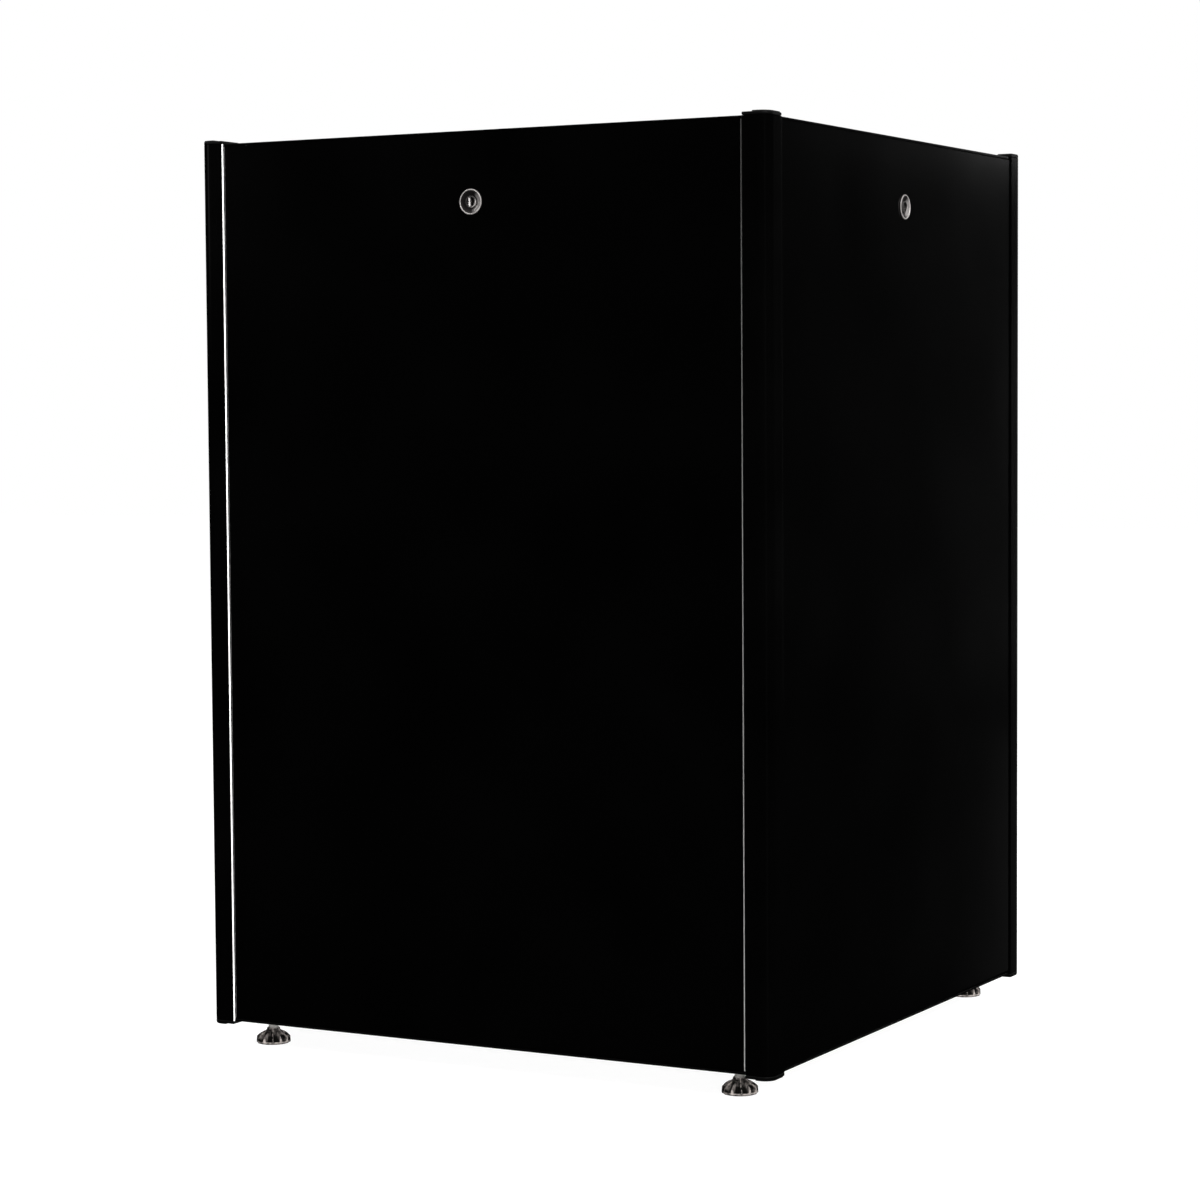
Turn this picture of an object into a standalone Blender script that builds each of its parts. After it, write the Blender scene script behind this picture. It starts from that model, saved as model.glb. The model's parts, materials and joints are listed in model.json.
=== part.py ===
"""A free-standing network cabinet for 19-inch equipment, 16 units high, on four levelling feet.

The floor is z = 0 and the origin is under the cabinet's middle. The glass door is the front, on the +Y
side, and left and right are as seen by someone in front of it, so the left side is the +X side. Every
lock is drawn unlocked, its cam clear of the frame, so each panel and the door can open.
"""

import math

import bmesh
import bpy

# Overall
WIDTH = 0.600
DEPTH = 0.600
FOOT_HEIGHT = 0.0245
BODY_HEIGHT = 0.8407
BODY_TOP = FOOT_HEIGHT + BODY_HEIGHT
GAP = 0.0003

# Corner posts: hollow extrusions with a rounded outer corner and two lips that back the panels
POST_X = 0.0255
POST_Y = 0.0276
POST_RADIUS = 0.011
POST_WALL = 0.002
POST_CHAMFER = 0.0006
POST_BEND_STEPS = 5
LIP_DEPTH = 0.018
LIP_THICK = 0.0015
LIP_REACH = 0.010
CAP_PROUD = 0.004
CAP_PLUG = 0.012
CAP_CHAMFER = 0.0008

# Base and roof: a rim under or over the panels and a wall behind them
RIM_INSET = 0.0015
PLATE_THICK = 0.0020
WALL_INSET = 0.0205
WALL_THICK = 0.0020
FRAME_HEIGHT = 0.040
POST_CLEARANCE = 0.0005
CABLE_HOLE = (0.300, 0.100)
CABLE_HOLE_Y = -0.200
COVER_SIZE = (0.320, 0.092)
COVER_THICK = 0.0015
COVER_Y = -0.178
VENT_SLOT = (0.110, 0.005)
VENT_PITCH = 0.012
VENT_ROWS = 10
VENT_CENTRES = ((-0.100, 0.110), (0.100, 0.110))

# Panels and door
PANEL_RECESS = 0.0013
PANEL_SIDE_GAP = 0.0012
PANEL_END_GAP = 0.0008
PANEL_RETURN = 0.0164
PANEL_SHEET = 0.0012
DOOR_RETURN = 0.014
DOOR_SHEET = 0.0015
DOOR_STILE = 0.045
GLASS_THICK = 0.004
GLASS_EDGE = 0.0335
GLASS_CHANNEL = 0.0015
DOOR_PIVOT_FROM_EDGE = 0.007
DOOR_PIVOT_FROM_FACE = 0.0038
HINGE_PIN_RADIUS = 0.0025
HINGE_PIN_REACH = 0.010
HINGE_HEAD_RADIUS = 0.0045
HINGE_HEAD_THICK = 0.0015

# Cam locks, with lengths along the lock measured outward from the panel's face
LOCK_DROP = 0.0645
RIM_RADIUS = 0.012
RIM_PROUD = 0.0014
DISH_SINK = 0.0010
PLUG_PROUD = 0.0008
BARREL_RADIUS = 0.0093
BARREL_END = -0.0210
PLUG_RADIUS = 0.0056
BORE_RADIUS = PLUG_RADIUS + GAP
CAM_THICK = 0.002
CAM_TOP = -0.0218
CAM_HALF_WIDTH = 0.008
CAM_REACH = 0.035
DOOR_CAM_REACH = 0.0190
DOOR_LOCK_FROM_EDGE = 0.0188
CAM_CORNER = 0.002
NUT_THICK = 0.0027
NUT_RADIUS = 0.0125
TAIL_RADIUS = 0.0030
SCREW_RADIUS = 0.0050
SCREW_THICK = 0.0018
LOCK_STEPS = 16
HEX = 6

# 19-inch mounting rails
UNIT = 0.04445
UNITS = 16
HOLE_HEIGHTS = (0.00635, 0.022225, 0.0381)
HOLE_SIDE = 0.0095
HOLE_LINE_X = 0.23255
RAIL_INNER_X = 0.225
RAIL_OUTER_X = 0.2475
RAIL_FACE_Y = 0.227
RAIL_DEPTH = 0.036
RAIL_SHEET = 0.002
RAIL_END_MARGIN = 0.020
BRACE_HEIGHT = 0.030
BRACE_LEVELS = {"lower": 0.095, "upper": 0.765}

# Levelling feet
FOOT_X = WIDTH / 2 - 0.0478
FOOT_Y = DEPTH / 2 - 0.0349
STUD_RADIUS = 0.005
STUD_LOW = 0.0063
STUD_TOP = 0.0545
FOOT_RADIUS = 0.0164
BOSS_RADIUS = 0.0062
BOSS_TOP = 0.0145
FOOT_NUT_RADIUS = 0.0092
FOOT_NUT_THICK = 0.0040
FOOT_STEPS = 24

CORNERS = {
    "rear_left": (1, -1),
    "rear_right": (-1, -1),
    "front_left": (1, 1),
    "front_right": (-1, 1),
}
FACE_YAW = {"rear": 0, "left": 90, "front": 180, "right": -90}


def clear_scene():
    for obj in list(bpy.data.objects):
        bpy.data.objects.remove(obj, do_unlink=True)


def new_collection(name):
    collection = bpy.data.collections.new(name)
    bpy.context.scene.collection.children.link(collection)
    return collection


def new_material(name, colour, roughness, metallic, alpha=1.0):
    material = bpy.data.materials.new(name)
    material.use_nodes = True
    shader = material.node_tree.nodes["Principled BSDF"]
    shader.inputs["Base Color"].default_value = (*colour, 1)
    shader.inputs["Roughness"].default_value = roughness
    shader.inputs["Metallic"].default_value = metallic
    shader.inputs["Alpha"].default_value = alpha
    return material


def add_object(name, data, material, parent=None, location=(0, 0, 0), rotation=(0, 0, 0)):
    """A part where a material is given, and otherwise a helper that only cuts or joins."""
    obj = bpy.data.objects.new(name, data)
    if material:
        data.materials.append(material)
        PARTS.objects.link(obj)
    else:
        HELPERS.objects.link(obj)
        obj.hide_render = True
        obj.display_type = "WIRE"
    obj.parent = parent
    obj.location = location
    obj.rotation_euler = rotation
    return obj


def add_empty(name, yaw):
    empty = bpy.data.objects.new(name, None)
    empty.rotation_euler = (0, 0, math.radians(yaw))
    PARTS.objects.link(empty)
    return empty


def finish_mesh(name, bm, smooth):
    mesh = bpy.data.meshes.new(name)
    bm.to_mesh(mesh)
    bm.free()
    if smooth:
        mesh.shade_smooth()
        mesh.set_sharp_from_angle(angle=math.radians(40))
    return mesh


def cube_into(bm, low, high):
    made = bmesh.ops.create_cube(bm, size=1)
    for vert in made["verts"]:
        for axis in range(3):
            middle = (low[axis] + high[axis]) / 2
            vert.co[axis] = middle + vert.co[axis] * (high[axis] - low[axis])


def blocks(name, corners, material=None, **placing):
    """One object made of boxes, each given by its lowest and highest corner."""
    bm = bmesh.new()
    for low, high in corners:
        cube_into(bm, low, high)
    return add_object(name, finish_mesh(name, bm, False), material, **placing)


def block(name, low, high, material=None, **placing):
    return blocks(name, [(low, high)], material, **placing)


def rods(name, centres, radius, low, high, steps, material=None, **placing):
    """One object made of upright round or polygonal bars, one at each centre."""
    bm = bmesh.new()
    for x, y in centres:
        made = bmesh.ops.create_cone(
            bm, cap_ends=True, segments=steps, radius1=radius, radius2=radius, depth=high - low
        )
        for vert in made["verts"]:
            vert.co.x += x
            vert.co.y += y
            vert.co.z += (low + high) / 2
    return add_object(name, finish_mesh(name, bm, steps > 6), material, **placing)


def outline(name, loops, low, high, material, chamfer=0.0, **placing):
    """A flat outline in plan, with any further loops as holes, raised from low to high."""
    curve = bpy.data.curves.new(name, "CURVE")
    curve.dimensions = "2D"
    curve.fill_mode = "BOTH"
    curve.extrude = (high - low) / 2 - chamfer
    curve.bevel_depth = chamfer
    curve.bevel_resolution = 0
    curve.offset = -chamfer
    for loop in loops:
        spline = curve.splines.new("POLY")
        spline.points.add(len(loop) - 1)
        for point, (x, y) in zip(spline.points, loop):
            point.co = (x, y, 0, 1)
        spline.use_cyclic_u = True
    x, y, z = placing.pop("location", (0, 0, 0))
    return add_object(name, curve, material, location=(x, y, z + (low + high) / 2), **placing)


def as_mesh(obj):
    """The same part with its curve made a mesh, so that it can be cut and joined."""
    bpy.context.view_layer.update()
    evaluated = obj.evaluated_get(bpy.context.evaluated_depsgraph_get())
    mesh = bpy.data.meshes.new_from_object(evaluated)
    bm = bmesh.new()
    bm.from_mesh(mesh)
    bmesh.ops.remove_doubles(bm, verts=bm.verts, dist=1e-6)
    bm.to_mesh(mesh)
    bm.free()
    name, matrix = obj.name, obj.matrix_world.copy()
    bpy.data.objects.remove(obj, do_unlink=True)
    made = bpy.data.objects.new(name, mesh)
    PARTS.objects.link(made)
    made.matrix_world = matrix
    return made


def turned(name, profile, steps, material, closed, **placing):
    """A profile of (radius, height) points, running down its outer side, spun about its own Z."""
    bm = bmesh.new()
    verts = [bm.verts.new((radius, 0, height)) for radius, height in profile]
    for first, second in zip(verts, verts[1:]):
        bm.edges.new((first, second))
    if closed:
        bm.edges.new((verts[-1], verts[0]))
    obj = add_object(name, finish_mesh(name, bm, False), material, **placing)
    screw = obj.modifiers.new("turn", "SCREW")
    screw.steps = steps
    screw.render_steps = steps
    screw.use_merge_vertices = True
    screw.merge_threshold = 1e-6
    screw.use_smooth_shade = True
    return obj


def combine(obj, helper, operation):
    modifier = obj.modifiers.new(helper.name, "BOOLEAN")
    modifier.operation = operation
    modifier.solver = "EXACT"
    modifier.object = helper


def cut(obj, helper):
    combine(obj, helper, "DIFFERENCE")


def unite(obj, helper):
    combine(obj, helper, "UNION")


def arc(centre, radius, start, end, count):
    """Points from one angle to another, in degrees."""
    for step in range(count + 1):
        angle = math.radians(start + (end - start) * step / count)
        yield centre[0] + radius * math.cos(angle), centre[1] + radius * math.sin(angle)


def at_corner(points, signs):
    """Points measured inward from a cabinet corner, turned into plan positions."""
    return [(signs[0] * (WIDTH / 2 - u), signs[1] * (DEPTH / 2 - v)) for u, v in points]


def post_outer():
    bend = arc((POST_RADIUS, POST_RADIUS), POST_RADIUS, 270, 180, POST_BEND_STEPS)
    points = [(POST_X - POST_CHAMFER, 0), *bend, (0, POST_Y - POST_CHAMFER), (POST_CHAMFER, POST_Y)]
    return points + [(POST_X, POST_Y), (POST_X, POST_CHAMFER)]


def post_hollow(clearance):
    wall = POST_WALL + clearance
    bend = arc((POST_RADIUS, POST_RADIUS), POST_RADIUS - wall, 270, 180, POST_BEND_STEPS)
    return [*bend, (wall, POST_Y - wall), (POST_X - wall, POST_Y - wall), (POST_X - wall, wall)]


def post_lips(signs):
    """The two lips that back the panels, which stop short of the base and roof plates."""
    low = FOOT_HEIGHT + PLATE_THICK + GAP
    high = BODY_TOP - PLATE_THICK - GAP
    root = POST_WALL / 2
    inner = LIP_DEPTH + LIP_THICK
    side_lip = ((LIP_DEPTH, POST_Y - root), (inner, POST_Y + LIP_REACH))
    face_lip = ((POST_X - root, LIP_DEPTH), (POST_X + LIP_REACH, inner))
    corners = []
    for lip in (side_lip, face_lip):
        (x1, y1), (x2, y2) = at_corner(lip, signs)
        corners.append(((min(x1, x2), min(y1, y2), low), (max(x1, x2), max(y1, y2), high)))
    return corners


def make_posts():
    """Each corner has a hollow post and two plastic end caps, whose plugs sit in its ends."""
    for corner, signs in CORNERS.items():
        loops = [at_corner(post_outer(), signs), at_corner(post_hollow(0), signs)]
        post = as_mesh(outline(f"corner_post_{corner}", loops, FOOT_HEIGHT, BODY_TOP, PAINT))
        unite(post, blocks(f"{corner}_lips", post_lips(signs)))
        cap_loop = at_corner(post_outer(), signs)
        plug_loop = at_corner(post_hollow(GAP), signs)
        for end, body_end, outward in (("top", BODY_TOP, 1), ("bottom", FOOT_HEIGHT, -1)):
            low, high = sorted((body_end + outward * GAP, body_end + outward * CAP_PROUD))
            cap = as_mesh(outline(f"{end}_cap_{corner}", [cap_loop], low, high, PLASTIC, CAP_CHAMFER))
            inside_cap = body_end + outward * (2 * GAP + CAP_CHAMFER)
            low, high = sorted((body_end - outward * CAP_PLUG, inside_cap))
            plug = as_mesh(outline(f"{end}_plug_{corner}", [plug_loop], low, high, PLASTIC))
            make_helper(plug)
            unite(cap, plug)


def make_helper(obj):
    PARTS.objects.unlink(obj)
    HELPERS.objects.link(obj)
    obj.hide_render = True
    obj.display_type = "WIRE"


def frame_tray(name, rim_low, rim_high, wall_low, wall_high):
    """A plate out to the cabinet's faces and a wall behind the panels, notched at the posts."""
    rim_x, rim_y = WIDTH / 2 - RIM_INSET, DEPTH / 2 - RIM_INSET
    wall_x, wall_y = WIDTH / 2 - WALL_INSET, DEPTH / 2 - WALL_INSET
    tray = block(name, (-rim_x, -rim_y, rim_low), (rim_x, rim_y, rim_high), PAINT)
    unite(tray, block(f"{name}_wall", (-wall_x, -wall_y, wall_low), (wall_x, wall_y, wall_high)))
    inner_x, inner_y = wall_x - WALL_THICK, wall_y - WALL_THICK
    hollow_low = rim_high if wall_high > rim_high else wall_low - WALL_THICK
    hollow_high = wall_high + WALL_THICK if wall_high > rim_high else rim_low
    cut(tray, block(f"{name}_hollow", (-inner_x, -inner_y, hollow_low), (inner_x, inner_y, hollow_high)))
    post_space = ((-POST_X, -POST_Y), (POST_X + POST_CLEARANCE, POST_Y + POST_CLEARANCE))
    notches = []
    for signs in CORNERS.values():
        (x1, y1), (x2, y2) = at_corner(post_space, signs)
        low = (min(x1, x2), min(y1, y2), wall_low - FRAME_HEIGHT)
        notches.append((low, (max(x1, x2), max(y1, y2), wall_high + FRAME_HEIGHT)))
    cut(tray, blocks(f"{name}_notches", notches))
    return tray


def cable_hole(name, plate_low, plate_high):
    half_x, half_y = CABLE_HOLE[0] / 2, CABLE_HOLE[1] / 2
    low = (-half_x, CABLE_HOLE_Y - half_y, plate_low - PLATE_THICK)
    return block(name, low, (half_x, CABLE_HOLE_Y + half_y, plate_high + PLATE_THICK))


def cable_cover(name, low):
    """A plate that slides along Y over a cable hole, made about its own middle."""
    half_x, half_y = COVER_SIZE[0] / 2, COVER_SIZE[1] / 2
    block(name, (-half_x, -half_y, 0), (half_x, half_y, COVER_THICK), PAINT, location=(0, COVER_Y, low))


def make_base():
    plate_top = FOOT_HEIGHT + PLATE_THICK
    wall = (FOOT_HEIGHT + GAP, FOOT_HEIGHT + FRAME_HEIGHT)
    base = frame_tray("base_frame", FOOT_HEIGHT, plate_top, *wall)
    cut(base, cable_hole("base_cable_hole", FOOT_HEIGHT, plate_top))
    centres = [(x * FOOT_X, y * FOOT_Y) for x, y in CORNERS.values()]
    hole_low, hole_high = FOOT_HEIGHT - PLATE_THICK, plate_top + PLATE_THICK
    cut(base, rods("stud_holes", centres, STUD_RADIUS + GAP, hole_low, hole_high, FOOT_STEPS))
    cut(base, hinge_bore("base_hinge_bore", hole_low, hole_high))
    cable_cover("base_cable_cover", plate_top + GAP)


def make_roof():
    plate_low = BODY_TOP - PLATE_THICK
    roof = frame_tray("roof_frame", plate_low, BODY_TOP, BODY_TOP - FRAME_HEIGHT, BODY_TOP - GAP)
    cut(roof, cable_hole("roof_cable_hole", plate_low, BODY_TOP))
    slots = []
    for x, y in VENT_CENTRES:
        for row in range(VENT_ROWS):
            middle = y + (row - (VENT_ROWS - 1) / 2) * VENT_PITCH
            low = (x - VENT_SLOT[0] / 2, middle - VENT_SLOT[1] / 2, plate_low - PLATE_THICK)
            high = (x + VENT_SLOT[0] / 2, middle + VENT_SLOT[1] / 2, BODY_TOP + PLATE_THICK)
            slots.append((low, high))
    cut(roof, blocks("roof_vent_slots", slots))
    cut(roof, hinge_bore("roof_hinge_bore", plate_low - PLATE_THICK, BODY_TOP + PLATE_THICK))
    cable_cover("roof_cable_cover", plate_low - GAP - COVER_THICK)


def door_pivot():
    """Where the door's upright hinge line stands, in plan."""
    edge = WIDTH / 2 - POST_X - PANEL_SIDE_GAP
    return edge - DOOR_PIVOT_FROM_EDGE, DEPTH / 2 - PANEL_RECESS - DOOR_PIVOT_FROM_FACE


def hinge_bore(name, low, high):
    return rods(name, [door_pivot()], HINGE_PIN_RADIUS + GAP, low, high, LOCK_STEPS)


def make_hinge_pins():
    """Headed pins through the base and the roof, on which the door turns."""
    x, y = door_pivot()
    door_low = FOOT_HEIGHT + PLATE_THICK + PANEL_END_GAP
    door_high = BODY_TOP - PLATE_THICK - PANEL_END_GAP
    low, high = FOOT_HEIGHT - GAP, BODY_TOP + GAP
    profile = [
        (0, door_low + HINGE_PIN_REACH),
        (HINGE_PIN_RADIUS, door_low + HINGE_PIN_REACH),
        (HINGE_PIN_RADIUS, low),
        (HINGE_HEAD_RADIUS, low),
        (HINGE_HEAD_RADIUS, low - HINGE_HEAD_THICK),
        (0, low - HINGE_HEAD_THICK),
    ]
    turned("hinge_pin_lower", profile, LOCK_STEPS, ZINC, False, location=(x, y, 0))
    profile = [
        (0, high + HINGE_HEAD_THICK),
        (HINGE_HEAD_RADIUS, high + HINGE_HEAD_THICK),
        (HINGE_HEAD_RADIUS, high),
        (HINGE_PIN_RADIUS, high),
        (HINGE_PIN_RADIUS, door_high - HINGE_PIN_REACH),
        (0, door_high - HINGE_PIN_REACH),
    ]
    turned("hinge_pin_upper", profile, LOCK_STEPS, ZINC, False, location=(x, y, 0))


def pan(name, half_width, depth, sheet, face, pivot, material):
    """A panel folded from sheet: a face and four returns, about a pivot on its lower outer edge."""
    height = BODY_HEIGHT - 2 * PLATE_THICK - 2 * PANEL_END_GAP
    left, right = -half_width - pivot[0], half_width - pivot[0]
    front = PANEL_RECESS - DEPTH / 2 - pivot[1]
    bottom = FOOT_HEIGHT + PLATE_THICK + PANEL_END_GAP - pivot[2]
    placing = {"parent": face, "location": pivot}
    shell = block(name, (left, front, bottom), (right, front + depth, bottom + height), material, **placing)
    low = (left + sheet, front + sheet, bottom + sheet)
    high = (right - sheet, front + depth + sheet, bottom + height - sheet)
    cut(shell, block(f"{name}_hollow", low, high, **placing))
    return shell


def lock_hole(panel, name, face, centre):
    placing = {"parent": face, "location": centre, "rotation": (math.pi / 2, 0, 0)}
    cut(panel, rods(f"{name}_hole", [(0, 0)], BARREL_RADIUS + GAP, -0.02, 0.01, FOOT_STEPS, **placing))


def make_lock(name, face, centre, nut_top, cam_reach, cam_turn):
    """A key lock about its own axis, Z outward: rim and barrel, fixing nut, plug and cam."""
    placing = {"parent": face, "location": centre, "rotation": (math.pi / 2, 0, 0)}
    body = [
        (RIM_RADIUS - 0.0010, RIM_PROUD),
        (RIM_RADIUS - 0.0003, RIM_PROUD - 0.0003),
        (RIM_RADIUS, RIM_PROUD - 0.0007),
        (RIM_RADIUS, GAP),
        (BARREL_RADIUS, GAP),
        (BARREL_RADIUS, BARREL_END),
        (BORE_RADIUS, BARREL_END),
        (BORE_RADIUS, -DISH_SINK),
        (BARREL_RADIUS - 0.0008, 0),
        (RIM_RADIUS - 0.0018, RIM_PROUD - 0.0005),
    ]
    turned(f"{name}_lock_body", body, LOCK_STEPS, ZINC, True, **placing)
    axis = [(0, 0)]
    heights = (nut_top - NUT_THICK, nut_top)
    nut = rods(f"{name}_lock_nut", axis, NUT_RADIUS, *heights, HEX, ZINC, **placing)
    cut(nut, rods(f"{name}_nut_hole", axis, BARREL_RADIUS + GAP, -0.03, 0.0, LOCK_STEPS, **placing))
    cam_bottom = CAM_TOP - CAM_THICK
    screw_top = cam_bottom - GAP
    plug = [
        (0, PLUG_PROUD),
        (PLUG_RADIUS - 0.0005, PLUG_PROUD),
        (PLUG_RADIUS, PLUG_PROUD - 0.0004),
        (PLUG_RADIUS, BARREL_END - GAP),
        (TAIL_RADIUS, BARREL_END - GAP),
        (TAIL_RADIUS, screw_top),
        (SCREW_RADIUS, screw_top),
        (SCREW_RADIUS, screw_top - SCREW_THICK),
        (0, screw_top - SCREW_THICK),
    ]
    turned(f"{name}_lock_plug", plug, LOCK_STEPS, ZINC, False, **placing)
    hub = list(arc((0, 0), CAM_HALF_WIDTH, -90, 90, 6))
    tip = CAM_HALF_WIDTH - CAM_CORNER
    hub += [(-cam_reach, tip), (-cam_reach, -tip)]
    loops = [hub, list(arc((0, 0), TAIL_RADIUS + GAP, 0, 315, 7))]
    cam = outline(f"{name}_lock_cam", loops, cam_bottom, CAM_TOP, ZINC)
    cam.parent = face
    inward_depth = -(cam_bottom + CAM_TOP) / 2
    cam.location = (centre[0], centre[1] + inward_depth, centre[2])
    cam.rotation_euler = (math.pi / 2, math.radians(cam_turn), 0)


def make_panels():
    """Lift-off panels on the rear and both sides, which tip out about their lower outer edges."""
    half_widths = {
        "rear": WIDTH / 2 - POST_X - PANEL_SIDE_GAP,
        "left": DEPTH / 2 - POST_Y - PANEL_SIDE_GAP,
        "right": DEPTH / 2 - POST_Y - PANEL_SIDE_GAP,
    }
    names = {"rear": "rear_panel", "left": "left_side_panel", "right": "right_side_panel"}
    front = PANEL_RECESS - DEPTH / 2
    for side, half_width in half_widths.items():
        face = add_empty(f"{side}_face", FACE_YAW[side])
        pivot = (0, front, FOOT_HEIGHT + PLATE_THICK + PANEL_END_GAP)
        panel = pan(names[side], half_width, PANEL_RETURN, PANEL_SHEET, face, pivot, PAINT)
        centre = (0, front, BODY_TOP - LOCK_DROP)
        lock_hole(panel, side, face, centre)
        make_lock(side, face, centre, -PANEL_SHEET - GAP, CAM_REACH, 0)


def make_door():
    """The front door: a folded frame round a pane, on two pins near its left edge."""
    face = add_empty("front_face", FACE_YAW["front"])
    half_width = WIDTH / 2 - POST_X - PANEL_SIDE_GAP
    pivot_x, pivot_y = door_pivot()
    front = PANEL_RECESS - DEPTH / 2
    bottom = FOOT_HEIGHT + PLATE_THICK + PANEL_END_GAP
    top = BODY_TOP - PLATE_THICK - PANEL_END_GAP
    pivot = (-pivot_x, -pivot_y, bottom)
    frame = pan("door_frame", half_width, DOOR_RETURN, DOOR_SHEET, face, pivot, PAINT)
    placing = {"parent": face}
    edge = GLASS_EDGE - GLASS_CHANNEL
    channel = block(
        "glass_channel",
        (edge - half_width, front + DOOR_SHEET / 2, bottom + edge),
        (half_width - edge, front + DOOR_RETURN, top - edge),
        **placing,
    )
    cut(
        channel,
        block(
            "glass_pocket",
            (GLASS_EDGE - half_width - GAP, front, bottom + GLASS_EDGE - GAP),
            (half_width - GLASS_EDGE + GAP, front + 2 * DOOR_RETURN, top - GLASS_EDGE + GAP),
            **placing,
        ),
    )
    unite(frame, channel)
    window = block(
        "door_window",
        (DOOR_STILE - half_width, front - DOOR_SHEET, bottom + DOOR_STILE),
        (half_width - DOOR_STILE, front + 2 * DOOR_SHEET, top - DOOR_STILE),
        **placing,
    )
    cut(frame, window)
    line = [(-pivot_x, -pivot_y)]
    bore = rods("door_hinge_bore", line, HINGE_PIN_RADIUS + GAP, 0, 1, LOCK_STEPS, **placing)
    cut(frame, bore)
    glass_half = half_width - GLASS_EDGE
    glass_front = DOOR_SHEET + GAP - DOOR_PIVOT_FROM_FACE
    low = (pivot_x - glass_half, glass_front, GLASS_EDGE)
    high = (pivot_x + glass_half, glass_front + GLASS_THICK, top - bottom - GLASS_EDGE)
    block("door_glass", low, high, GLASS, parent=face, location=pivot)
    centre = (half_width - DOOR_LOCK_FROM_EDGE, front, (bottom + top) / 2)
    lock_hole(frame, "door", face, centre)
    make_lock("door", face, centre, -DOOR_SHEET - GAP, DOOR_CAM_REACH, 90)


def make_rails():
    """Four angle rails whose flanges carry the square holes that equipment bolts to."""
    span = UNITS * UNIT
    middle = FOOT_HEIGHT + BODY_HEIGHT / 2
    low, high = middle - span / 2 - RAIL_END_MARGIN, middle + span / 2 + RAIL_END_MARGIN
    for corner, (sign_x, sign_y) in CORNERS.items():
        plan = [
            (RAIL_INNER_X, RAIL_FACE_Y),
            (RAIL_OUTER_X, RAIL_FACE_Y),
            (RAIL_OUTER_X, RAIL_FACE_Y - RAIL_DEPTH),
            (RAIL_OUTER_X - RAIL_SHEET, RAIL_FACE_Y - RAIL_DEPTH),
            (RAIL_OUTER_X - RAIL_SHEET, RAIL_FACE_Y - RAIL_SHEET),
            (RAIL_INNER_X, RAIL_FACE_Y - RAIL_SHEET),
        ]
        loop = [(sign_x * x, sign_y * y) for x, y in plan]
        rail = as_mesh(outline(f"mounting_rail_{corner}", [loop], low, high, ZINC))
        holes = []
        half = HOLE_SIDE / 2
        x, y = sign_x * HOLE_LINE_X, sign_y * (RAIL_FACE_Y - RAIL_SHEET / 2)
        y_low, y_high = y - 2 * RAIL_SHEET, y + 2 * RAIL_SHEET
        for unit in range(UNITS):
            for height in HOLE_HEIGHTS:
                z = middle - span / 2 + unit * UNIT + height
                holes.append(((x - half, y_low, z - half), (x + half, y_high, z + half)))
        cut(rail, blocks(f"{corner}_rail_holes", holes))


def make_braces():
    """Bars from post to post along the depth, bent outward at both ends, which hold the rails."""
    web_in = RAIL_OUTER_X + GAP
    end_y = DEPTH / 2 - POST_Y - GAP
    tab_x = WIDTH / 2 - LIP_DEPTH - LIP_THICK - GAP
    web_out, tab_y = web_in + RAIL_SHEET, end_y - RAIL_SHEET
    plan = [
        (web_in, -end_y),
        (tab_x, -end_y),
        (tab_x, -tab_y),
        (web_out, -tab_y),
        (web_out, tab_y),
        (tab_x, tab_y),
        (tab_x, end_y),
        (web_in, end_y),
    ]
    for side, sign in (("left", 1), ("right", -1)):
        loop = [(sign * x, y) for x, y in plan]
        for level, low in BRACE_LEVELS.items():
            outline(f"depth_brace_{side}_{level}", [loop], low, low + BRACE_HEIGHT, ZINC)


def make_feet():
    """A foot is a cast pad on a threaded stud, with a lock nut under the base."""
    bore = STUD_RADIUS + GAP
    pad = [
        (0, STUD_LOW - GAP),
        (bore, STUD_LOW - GAP),
        (bore, BOSS_TOP),
        (BOSS_RADIUS, BOSS_TOP),
        (0.0070, 0.0128),
        (0.0088, 0.0115),
        (0.0120, 0.0095),
        (0.0150, 0.0070),
        (FOOT_RADIUS, 0.0055),
        (FOOT_RADIUS, 0),
        (0, 0),
    ]
    axis = [(0, 0)]
    stud_ends = (STUD_LOW, STUD_TOP)
    nut_ends = (FOOT_HEIGHT - GAP - FOOT_NUT_THICK, FOOT_HEIGHT - GAP)
    for corner, (sign_x, sign_y) in CORNERS.items():
        placing = {"location": (sign_x * FOOT_X, sign_y * FOOT_Y, 0)}
        turned(f"foot_pad_{corner}", pad, FOOT_STEPS, CAST, False, **placing)
        rods(f"foot_stud_{corner}", axis, STUD_RADIUS, *stud_ends, LOCK_STEPS, ZINC, **placing)
        nut = rods(f"foot_nut_{corner}", axis, FOOT_NUT_RADIUS, *nut_ends, HEX, ZINC, **placing)
        cut(nut, rods(f"{corner}_foot_nut_hole", axis, bore, *stud_ends, LOCK_STEPS, **placing))


clear_scene()
PARTS = new_collection("network_cabinet")
HELPERS = new_collection("cutters")
PAINT = new_material("black_paint", (0.006, 0.006, 0.007), 0.28, 0.0)
PLASTIC = new_material("black_plastic", (0.012, 0.012, 0.012), 0.45, 0.0)
ZINC = new_material("zinc_plate", (0.62, 0.61, 0.58), 0.30, 1.0)
CAST = new_material("dark_casting", (0.11, 0.10, 0.09), 0.45, 0.8)
GLASS = new_material("tinted_glass", (0.10, 0.11, 0.11), 0.04, 0.0, 0.45)
make_posts()
make_base()
make_roof()
make_hinge_pins()
make_panels()
make_door()
make_rails()
make_braces()
make_feet()
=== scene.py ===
"""Looks for the network cabinet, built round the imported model.

Left and right are as seen from in front of the glass door, which faces +Y. The camera stands behind
the cabinet and sees its rear face and its left side, which faces +X. Lengths are in metres.
"""

import json
import math

import bmesh
import bpy
from mathutils import Matrix, Vector


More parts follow.
